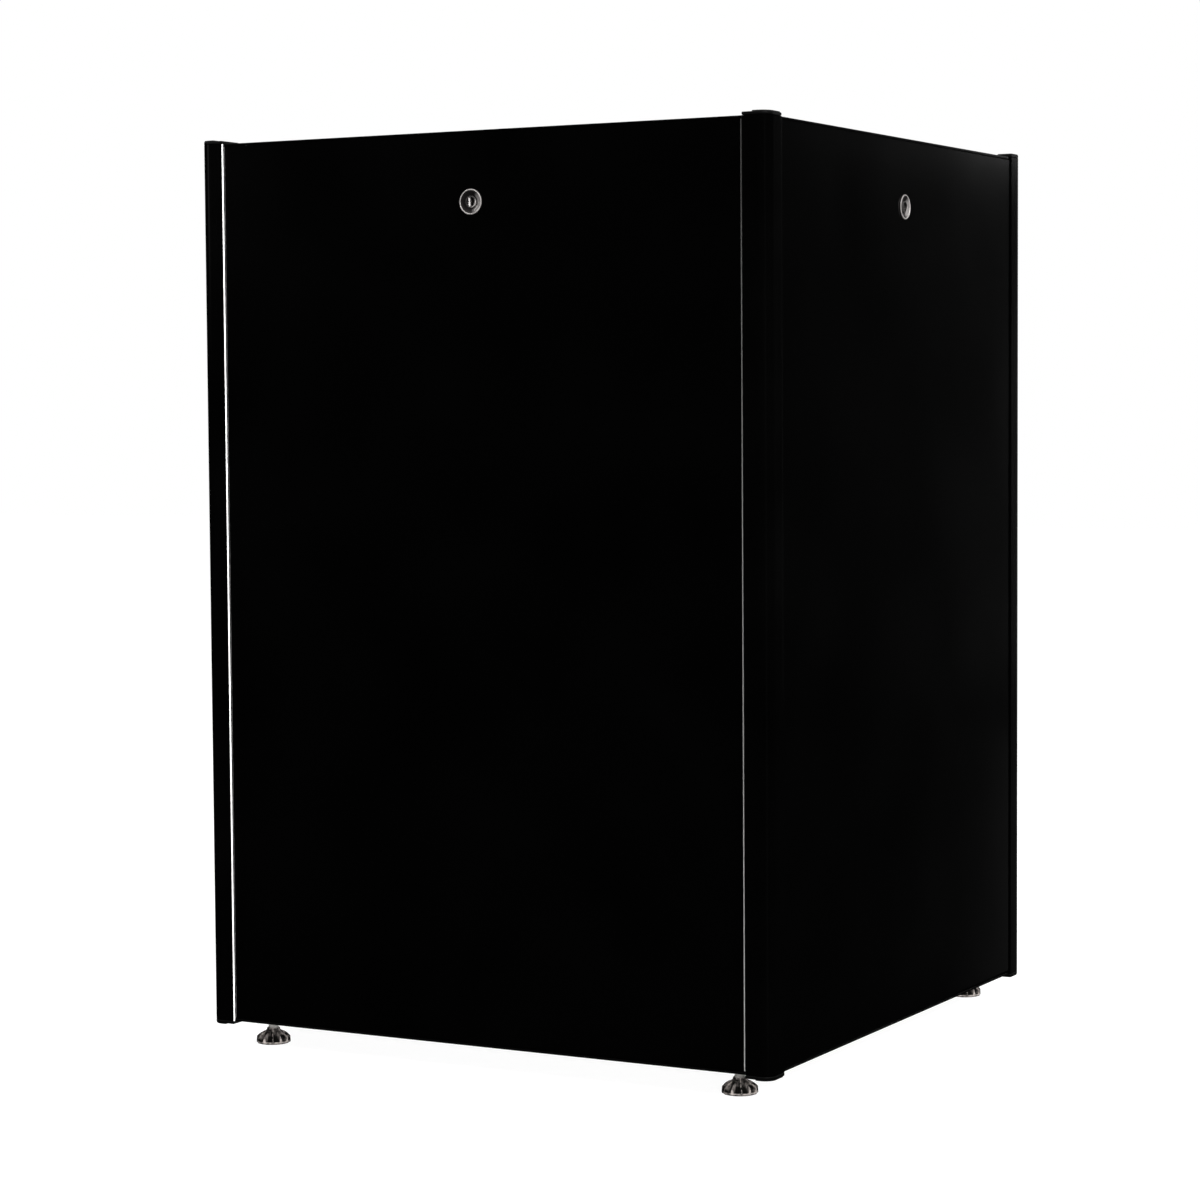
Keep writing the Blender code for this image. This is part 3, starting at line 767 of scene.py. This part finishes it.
def make_panel(node_name, axis, sign, bare_returns):
    """A folded panel: rounded folds round its face, and two hat stiffeners behind it."""
    low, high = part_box(node_name)
    face_at = low[axis] if sign < 0 else high[axis]
    across = 1 - axis
    bm = cad_shape(node_name)
    bm.normal_update()

    def weight(edge):
        on_face = all(abs(vert.co[axis] - face_at) < 1e-5 for vert in edge.verts)
        on_rim = any(
            min(abs(edge.verts[0].co[i] - side[i]) for side in (low, high)) < 1e-5
            and min(abs(edge.verts[1].co[i] - side[i]) for side in (low, high)) < 1e-5
            for i in (across, 2)
        )
        if on_face and on_rim:
            return 1.0
        return SHEET_ROUNDING / FACE_ROUNDING if on_rim else 0.0

    weigh_edges(bm, weight)
    bm = rounded(bm, FACE_ROUNDING, 6)
    # The returns take the bare metal with its painted shade and painted floor glow.
    if bare_returns:
        bm.normal_update()
        for face in bm.faces:
            middle = face.calc_center_median()[across]
            at_side = min(abs(middle - low[across]), abs(middle - high[across])) < FACE_ROUNDING / 2
            face.material_index = 1 if at_side and abs(face.normal[across]) > 0.8 else 0
    stand_in(node_name, bm, [PAINT, SHADED_RETURN])
    make_stiffeners(node_name, axis, sign, face_at)


def hat_section():
    """A stiffener's section as (across, depth) points, its hollow side towards the panel."""
    outer, inner = HAT_CREST - 1 * MM, HAT_CREST - 2 * MM
    points = [(-HAT_FOOT, 0), (-HAT_FOOT, PANEL_SHEET), (-HAT_CREST - PANEL_SHEET, PANEL_SHEET)]
    points += [(-outer, HAT_HEIGHT), (outer, HAT_HEIGHT)]
    points += [(HAT_CREST + PANEL_SHEET, PANEL_SHEET), (HAT_FOOT, PANEL_SHEET), (HAT_FOOT, 0)]
    points += [(HAT_CREST, 0), (inner, HAT_HEIGHT - PANEL_SHEET)]
    return points + [(-inner, HAT_HEIGHT - PANEL_SHEET), (-HAT_CREST, 0)]


def make_stiffeners(node_name, axis, sign, face_at):
    low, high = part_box(node_name)
    inside = abs(face_at) - PANEL_SHEET - 0.1 * MM
    parts = []
    for offset in (-HAT_OFFSET, HAT_OFFSET):
        points = []
        for along, depth in hat_section():
            place = [0, 0]
            place[1 - axis] = offset + along
            place[axis] = sign * (inside - depth)
            points.append(tuple(place))
        parts.append((raised([points], low.z + HAT_END, high.z - HAT_END), None))
    body = BODY_OF[node_name]
    piece(f"{node_name}_stiffeners", joined(parts), PAINT, body, "black_paint", edge=(0.3 * MM, 2))


def make_panels():
    make_panel("rear_panel", 1, -1, True)
    make_panel("left_side_panel", 0, 1, False)
    make_panel("right_side_panel", 0, -1, False)


def make_plates():
    for node_name in ("base_frame", "roof_frame", "roof_cable_cover", "base_cable_cover"):
        stand_in(node_name, cad_shape(node_name), edge=(0.4 * MM, 3))


make_panels()
make_plates()


# ---------------------------------------------------------------- glass door


WINDOW_INSET = 45 * MM
WINDOW_WEIGHT = 0.45
GASKET_WIDTH = 2.6 * MM
GASKET_CORNER = 4 * MM


def make_door():
    """The door frame and its glass. The frame's front edges are the most rounded ones."""
    low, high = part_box("door_frame")
    bm = cad_shape("door_frame")

    def weight(edge):
        on_face = all(abs(vert.co.y - high.y) < 1e-5 for vert in edge.verts)
        for i in (0, 2):
            for side in (low[i], high[i]):
                if all(abs(vert.co[i] - side) < 1e-5 for vert in edge.verts):
                    return 1.0 if on_face else SHEET_ROUNDING / FACE_ROUNDING
            for side in (low[i] + WINDOW_INSET, high[i] - WINDOW_INSET):
                if on_face and all(abs(vert.co[i] - side) < 1e-4 for vert in edge.verts):
                    return WINDOW_WEIGHT
        return 0.0

    weigh_edges(bm, weight)
    stand_in("door_frame", bm, edge=(FACE_ROUNDING, 5))
    stand_in("door_glass", cad_shape("door_glass"), edge=(0.8 * MM, 3))
    make_gasket(low, high)


def make_gasket(low, high):
    """A rubber seal just inside the window's edge, against the glass, with rounded inner corners."""
    glass_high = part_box("door_glass")[1]
    loops = []
    for reach, corner in ((0.1 * MM, 0.2 * MM), (GASKET_WIDTH, GASKET_CORNER)):
        inset = WINDOW_INSET + reach + corner
        left, right = low.x + inset, high.x - inset
        bottom, top = low.z + inset, high.z - inset
        loop = arc((right, top), corner, 0, 90, 6) + arc((left, top), corner, 90, 180, 6)
        loop += arc((left, bottom), corner, 180, 270, 6) + arc((right, bottom), corner, 270, 360, 6)
        loops.append(loop)
    to_front = Matrix(((1, 0, 0, 0), (0, 0, -1, 0), (0, 1, 0, 0), (0, 0, 0, 1)))
    gasket = raised(loops, -(high.y - 0.2 * MM), -(glass_high.y + 0.05 * MM), 0.4 * MM)
    gasket.transform(to_front)
    piece("door_gasket", gasket, RUBBER, "door", "black_plastic")


def make_hinge_pins():
    for node_name, outward in (("hinge_pin_lower", -1), ("hinge_pin_upper", 1)):
        low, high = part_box(node_name)
        x, y = (low.x + high.x) / 2, (low.y + high.y) / 2
        tip, head = (high.z, low.z) if outward < 0 else (low.z, high.z)
        profile = [(0, tip), (1.9 * MM, tip), (2.5 * MM, tip + outward * 0.6 * MM)]
        under = head - outward * 1.5 * MM
        profile += [(2.5 * MM, under), (4.4 * MM, under), (4.5 * MM, under + outward * 0.2 * MM)]
        for angle in (20, 45, 70, 90):
            turn = math.radians(angle)
            radius = 2.6 * MM + 1.9 * MM * math.cos(turn)
            profile.append((radius, under + outward * (0.5 + 1.0 * math.sin(turn)) * MM))
        slot_floor = head - outward * 0.8 * MM
        profile += [(1.3 * MM, head), (1.3 * MM, slot_floor), (0, slot_floor)]
        stand_in(node_name, lathed(profile, 32), matrix=Matrix.Translation((x, y, 0)))


make_door()
make_hinge_pins()


# ---------------------------------------------------------------- locks

# Lock profiles are points of radius and height in millimetres, then the "wear" value where it is given, which on
# the locks is painted light: high for a painted highlight, low for painted shade.
LOCK_SIDES = ("rear", "left", "right", "door")

# Which side of the dish and of the plug's ring carries a painted highlight, and how bright the dish's painted
# highlight is.
DISH_SIDE = math.radians(-12)
DISH_PAINTED_SHEEN = 0.55
PLUG_LIT_SIDE = math.radians(-35)


def lock_body():
    """A barrel with a ring thread, and outside the panel a thin rim with a painted highlight round a dish darkened
    with painted shade.
    """
    profile = [(5.9, -21, 0.2), (9.0, -21), (9.3, -20.7)]
    for ring in range(16):
        z = -20.2 + ring
        profile += [(9.3, z), (8.85, z + 0.35), (9.3, z + 0.7)]
    # Painted light: the outer chamfer is painted dark as shade, the rim tube bright as a highlight, and the dish
    # dark as shade.
    profile += [(9.3, 0.3), (11.8, 0.3), (12, 0.5, 0.0), (11.7, 0.8, 0.05), (11.45, 0.9, 0.8)]
    profile += [(r, z, 1.0) for r, z in arc((11.0, 0.95), 0.45, 0, 150, 8)]
    profile += [(10.4, 0.8, 0.0), (9.9, 0.5, 0.0), (9.2, 0.1, 0.0), (8.2, -0.3, 0.0)]
    profile += [(7.0, -0.6, 0.0), (6.2, -0.75, 0.0), (5.9, -0.95, 0.0), (5.9, -2.0, 0.0)]
    body = lathed([(r * MM, z * MM, *wear_and_light_level) for r, z, *wear_and_light_level in profile], 72, closed=True)
    wear_and_painted_light = body.verts.layers.float["wear_and_painted_light"]
    # Painted highlight: the dish is lighter on the side towards DISH_SIDE, as if lit from there.
    for vert in body.verts:
        away = math.hypot(vert.co.x, vert.co.y)
        if vert.co.z > -0.7 * MM and 6.6 * MM < away < 10.6 * MM:
            turned = math.cos(math.atan2(vert.co.y, vert.co.x) - DISH_SIDE)
            vert[wear_and_painted_light] = DISH_PAINTED_SHEEN * smooth((turned - 0.2) / 0.6)
    return body


def lock_plug():
    """The turning plug: a raised ring round a D-shaped recess with a key slot in its floor."""
    profile = [(0, 0.5, 0.15), (4.5, 0.5, 0.15), (4.6, 0.8, 0.8)]
    profile += [(r, z, 1.0) for r, z in arc((5.0, 0.35), 0.4, 90, 0, 4)]
    profile += [(5.4, -0.4, 0.3), (5.4, -1.2, 0.0), (5.6, -1.5, 0.0), (5.6, -21.3, 0.4)]
    profile += [(3, -21.3), (3, -24.1), (4.6, -24.1), (5, -24.5), (5, -25.5), (4.5, -25.9)]
    profile += [(0, -25.9)]
    solid = lathed([(r * MM, z * MM, *wear_and_light_level) for r, z, *wear_and_light_level in profile], 64)
    wear_and_painted_light = solid.verts.layers.float["wear_and_painted_light"]
    # Painted highlight: the ring's top is lighter towards PLUG_LIT_SIDE, a crescent as if lit from there.
    for vert in solid.verts:
        if vert.co.z > 0:
            wear_and_highlight = max(0.0, math.cos(math.atan2(vert.co.y, vert.co.x) - PLUG_LIT_SIDE))
            vert[wear_and_painted_light] *= 0.12 + 2.4 * wear_and_highlight**4
    reach = 4.3
    swing = math.degrees(math.acos(-2.0 / reach))
    bowl = [(x * MM, y * MM) for x, y in arc((0, 0), reach, -swing, swing, 40)]
    keyway = [(-0.7, -3.4), (0.8, -3.4), (0.8, -1.3), (0.3, -0.9), (0.3, 0.6), (0.8, 1.0)]
    keyway += [(0.8, 3.2), (-0.7, 3.2), (-0.7, 1.3), (-0.3, 0.9), (-0.3, -0.8), (-0.7, -1.2)]
    slot = raised([[(x * MM, y * MM) for x, y in keyway]], -8 * MM, 0 * MM)
    across = boxed((-4 * MM, -0.5 * MM, -27 * MM), (4 * MM, 0.5 * MM, -25.1 * MM))
    along = boxed((-0.5 * MM, -4 * MM, -27 * MM), (0.5 * MM, 4 * MM, -25.1 * MM))
    plug = carved(solid, [raised([bowl], -2.6 * MM, 2 * MM), slot, across, along])
    plug.normal_update()
    # Painted highlight: the recess's flat wall facing +X takes the lighter copy of the lock metal.
    for face in plug.faces:
        middle = face.calc_center_median()
        if face.normal.x > 0.9 and abs(middle.x + 2.0 * MM) < 0.1 * MM and middle.z > -3 * MM:
            face.material_index = 1
    return plug


def hex_nut(radius, bore, low, high, chamfer):
    """A hexagonal nut with its corners turned off at both ends and a countersunk bore."""
    corners = arc((0, 0), radius, 0, 300, 5)
    hexagon = raised([corners], low, high)
    flat = radius * math.cos(math.pi / 6)
    turned = lathed(
        [
            (bore, low + chamfer),
            (bore + chamfer, low),
            (flat, low),
            (radius + 0.2 * MM, low + chamfer),
            (radius + 0.2 * MM, high - chamfer),
            (flat, high),
            (bore + chamfer, high),
            (bore, high - chamfer),
        ],
        48,
        closed=True,
    )
    return carved(turned, [hexagon], "INTERSECT")


def make_locks():
    for side in LOCK_SIDES:
        at = frame_at(f"{side}_lock_turn")
        sheet = DOOR_SHEET if side == "door" else PANEL_SHEET
        stand_in(f"{side}_lock_body", lock_body(), matrix=at)
        stand_in(f"{side}_lock_plug", lock_plug(), [CHROME, HIGHLIGHT_METAL], matrix=at)
        top = -sheet - GAP
        nut = hex_nut(12.5 * MM, 9.4 * MM, top - 2.7 * MM, top, 0.5 * MM)
        stand_in(f"{side}_lock_nut", nut, matrix=at)
        stand_in(f"{side}_lock_cam", cad_shape(f"{side}_lock_cam"), edge=(0.3 * MM, 2))


make_locks()


# ---------------------------------------------------------------- rails and braces


def make_rails():
    for corner in CORNERS:
        node_name = f"mounting_rail_{corner}"
        stand_in(node_name, cad_shape(node_name), edge=(0.3 * MM, 2))


BRACE_SLOT_PITCH = 65 * MM
BRACE_SLOT_HALF = 18 * MM
BRACE_SLOT_RADIUS = 3.5 * MM
BRACE_CUT_REACH = 320 * MM


def make_braces():
    """Braces with a row of five slots through each."""
    for side, sign in (("left", 1), ("right", -1)):
        for level in ("lower", "upper"):
            node_name = f"depth_brace_{side}_{level}"
            low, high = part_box(node_name)
            middle = (low.z + high.z) / 2
            tools = []
            for index in range(-2, 3):
                at = index * BRACE_SLOT_PITCH
                loop = arc((at + BRACE_SLOT_HALF, middle), BRACE_SLOT_RADIUS, -90, 90, 8)
                loop += arc((at - BRACE_SLOT_HALF, middle), BRACE_SLOT_RADIUS, 90, 270, 8)
                bar = raised([loop], -BRACE_CUT_REACH, BRACE_CUT_REACH)
                bar.transform(Matrix(((0, 0, 1, 0), (1, 0, 0, 0), (0, 1, 0, 0), (0, 0, 0, 1))))
                tools.append(bar)
            brace = carved(cad_shape(node_name), tools)
            stand_in(node_name, brace, edge=(0.3 * MM, 2))


def screw_head():
    """A pan head with a cross recess, on a washer, Z outward from the face it sits on."""
    profile = [(0, 0.4 * MM), (6 * MM, 0.4 * MM), (6.2 * MM, 0.6 * MM), (6.2 * MM, 1.2 * MM)]
    profile += [(6 * MM, 1.4 * MM), (4.6 * MM, 1.4 * MM), (4.6 * MM, 2.4 * MM)]
    profile += [(r * MM, z * MM) for r, z in arc((2.6, 2.4), 2.0, 0, 80, 6)]
    profile += [(0, 4.45 * MM)]
    head = lathed(profile, 32)
    across = boxed((-2.6 * MM, -0.5 * MM, 2.6 * MM), (2.6 * MM, 0.5 * MM, 6 * MM))
    along = boxed((-0.5 * MM, -2.6 * MM, 2.6 * MM), (0.5 * MM, 2.6 * MM, 6 * MM))
    head = carved(head, [across, along])
    bmesh.ops.translate(head, verts=head.verts, vec=(0, 0, -0.4 * MM))
    return head


SCREW_INSET = 20 * MM
SCREW_SEAT = 2 * MM
NUT_SEAT = 2.3 * MM


def make_rail_screws():
    """Pan-head screws inside the rails and nuts outside the braces, one pair at each crossing."""
    heads, nuts = [], []
    for corner, (sign_x, sign_y) in CORNERS.items():
        rail_low, rail_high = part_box(f"mounting_rail_{corner}")
        side = corner.split("_")[1]
        flange = max(abs(rail_low.x), abs(rail_high.x))
        y = sign_y * (max(abs(rail_low.y), abs(rail_high.y)) - SCREW_INSET)
        for level in ("lower", "upper"):
            low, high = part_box(f"depth_brace_{side}_{level}")
            z = (low.z + high.z) / 2
            facing_in = Matrix.Rotation(math.radians(-90 * sign_x), 4, "Y")
            facing_out = Matrix.Rotation(math.radians(90 * sign_x), 4, "Y")
            inside = Matrix.Translation((sign_x * (flange - SCREW_SEAT), y, z))
            outside = Matrix.Translation((sign_x * (flange + NUT_SEAT), y, z))
            heads.append((screw_head(), inside @ facing_in))
            nuts.append((hex_nut(5.8 * MM, 3 * MM, 0, 4.5 * MM, 0.5 * MM), outside @ facing_out))
            stem = [(0, 0), (2.9 * MM, 0), (2.9 * MM, 6 * MM), (2.4 * MM, 6.5 * MM), (0, 6.5 * MM)]
            nuts.append((lathed(stem, 24), outside @ facing_out))
    piece("rail_screws", joined(heads), ZINC, "cabinet", "zinc_plate")
    piece("rail_nuts", joined(nuts), ZINC, "cabinet", "zinc_plate")


make_rails()
make_braces()
make_rail_screws()


# ---------------------------------------------------------------- levelling feet

# The foot pad's lengths, here and in foot_pad(), are in millimetres.
FOOT_RIBS = 12
STEPS_PER_RIB = 14
RIB_START = 0.70
RIB_FLANK = 0.18
RIB_WEAR = 0.62
SCALLOP = 0.75
WELL_RADIUS = 5.3


def height_at(points, radius):
    """The height at a radius on a line of (radius, height) points."""
    for (r0, z0), (r1, z1) in zip(points, points[1:]):
        if radius <= r1:
            return z0 + (z1 - z0) * (radius - r0) / (r1 - r0)
    return points[-1][1]


def foot_ring(bm, hollow, crest, wear_and_light_level, rib_worn=0.0):
    """A ring of points round the pad, with its (radius, height) in the hollows and on the ribs."""
    wear_and_painted_light = bm.verts.layers.float["wear_and_painted_light"]
    count = FOOT_RIBS * STEPS_PER_RIB
    row = []
    for step in range(count):
        angle = 2 * math.pi * step / count
        off = abs((step % STEPS_PER_RIB) - STEPS_PER_RIB / 2) / (STEPS_PER_RIB / 2)
        rib = smooth((off - RIB_START) / RIB_FLANK)
        r = (hollow[0] + (crest[0] - hollow[0]) * rib) * MM
        z = (hollow[1] + (crest[1] - hollow[1]) * rib) * MM
        vert = bm.verts.new((r * math.cos(angle), r * math.sin(angle), z))
        vert[wear_and_painted_light] = max(wear_and_light_level, rib_worn * rib**6)
        row.append(vert)
    return row


def foot_pad(radius):
    """A cast pad: a cone of twelve ribs with hollows between them, and a thin scalloped rim."""
    crest = [(6.2, 14.5), (6.5, 12.9), (7.6, 11.6), (9.0, 11.0), (11.5, 10.0), (13.0, 9.1)]
    crest += [(14.5, 8.0), (15.8, 6.8), (radius, 5.6)]
    hollow = [(6.2, 14.5), (6.5, 12.8), (7.6, 11.2), (9.0, 10.4), (9.8, 9.0), (10.4, 5.0)]
    hollow += [(11.0, 1.8), (12.0, 1.4), (14.8, 1.4), (15.3, 2.4), (radius, 2.4)]
    radii = [6.2, 6.35, 6.5, 6.9, 7.6, 8.3, 9.0, 9.4, 9.8, 10.1, 10.4, 11.0, 12.0, 13.0]
    radii += [13.8, 14.4, 14.8, 15.1, 15.4, radius - 0.5, radius - 0.2]
    bm = bmesh.new()
    bm.verts.layers.float.new("wear_and_painted_light")
    rows = [foot_ring(bm, (r, 14.6), (r, 14.6), 0.6) for r in (WELL_RADIUS, 5.6, 5.9)]
    for r in radii:
        rim = 0.5 * smooth((r - 15.0) / 0.4)
        wear_and_light_level = max(rim, 0.13 if r < 9.9 else 0.0)
        ends = (r, height_at(hollow, r)), (r, height_at(crest, r))
        rows.append(foot_ring(bm, *ends, wear_and_light_level, RIB_WEAR))
    for inset, z in ((0.0, 1.8), (0.0, 0.9), (0.25, 0.3)):
        out = radius - inset
        rows.append(foot_ring(bm, (out - SCALLOP, z), (out, z), 0.45 if z > 1.0 else 0.15))
    for inset in (1.4, 5.8):
        out = radius - inset
        rows.append(foot_ring(bm, (out, 0.0), (out, 0.0), 0.15))
    for first, second in zip(rows, rows[1:]):
        bridge(bm, first, second)
    bm.faces.new(rows[-1])
    wall, floor = [foot_ring(bm, (WELL_RADIUS, z), (WELL_RADIUS, z), 0.0) for z in (14.3, 6.0)]
    bridge(bm, rows[0], wall)
    bridge(bm, wall, floor)
    bm.faces.new(floor)
    return bm


def threaded(radius, depth, pitch, low, high, steps=24, rows_per_turn=6):
    """A bar with a helical thread that fades out towards its two flat ends."""
    bm = bmesh.new()
    rows = []
    count = int(round((high - low) / pitch * rows_per_turn))
    for index in range(count + 1):
        z = low + (high - low) * index / count
        fade = smooth(min(index, count - index) / (0.8 * rows_per_turn))
        row = []
        for step in range(steps):
            turn = step / steps
            phase = (z / pitch - turn) % 1.0
            r = radius - depth * (1 - abs(2 * phase - 1)) * fade - depth * (1 - fade)
            angle = 2 * math.pi * turn
            row.append(bm.verts.new((r * math.cos(angle), r * math.sin(angle), z)))
        if rows:
            bridge(bm, rows[-1], row)
        rows.append(row)
    bm.faces.new(rows[0])
    bm.faces.new(rows[-1])
    return bm


def make_feet():
    for corner in CORNERS:
        pad_low, pad_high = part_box(f"foot_pad_{corner}")
        stud_low, stud_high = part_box(f"foot_stud_{corner}")
        nut_low, nut_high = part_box(f"foot_nut_{corner}")
        middle = (pad_low + pad_high) / 2
        at = Matrix.Translation((middle.x, middle.y, 0))
        radius = (pad_high.x - pad_low.x) / 2 / MM
        stand_in(f"foot_pad_{corner}", foot_pad(radius), matrix=at, crease=50.0)
        stud = threaded(5 * MM, 0.5 * MM, 1.5 * MM, stud_low.z, stud_high.z)
        stand_in(f"foot_stud_{corner}", stud, matrix=at, crease=50.0)
        nut = hex_nut(9.2 * MM, 5.25 * MM, nut_low.z, nut_high.z, 0.5 * MM)
        stand_in(f"foot_nut_{corner}", nut, matrix=at)


make_feet()
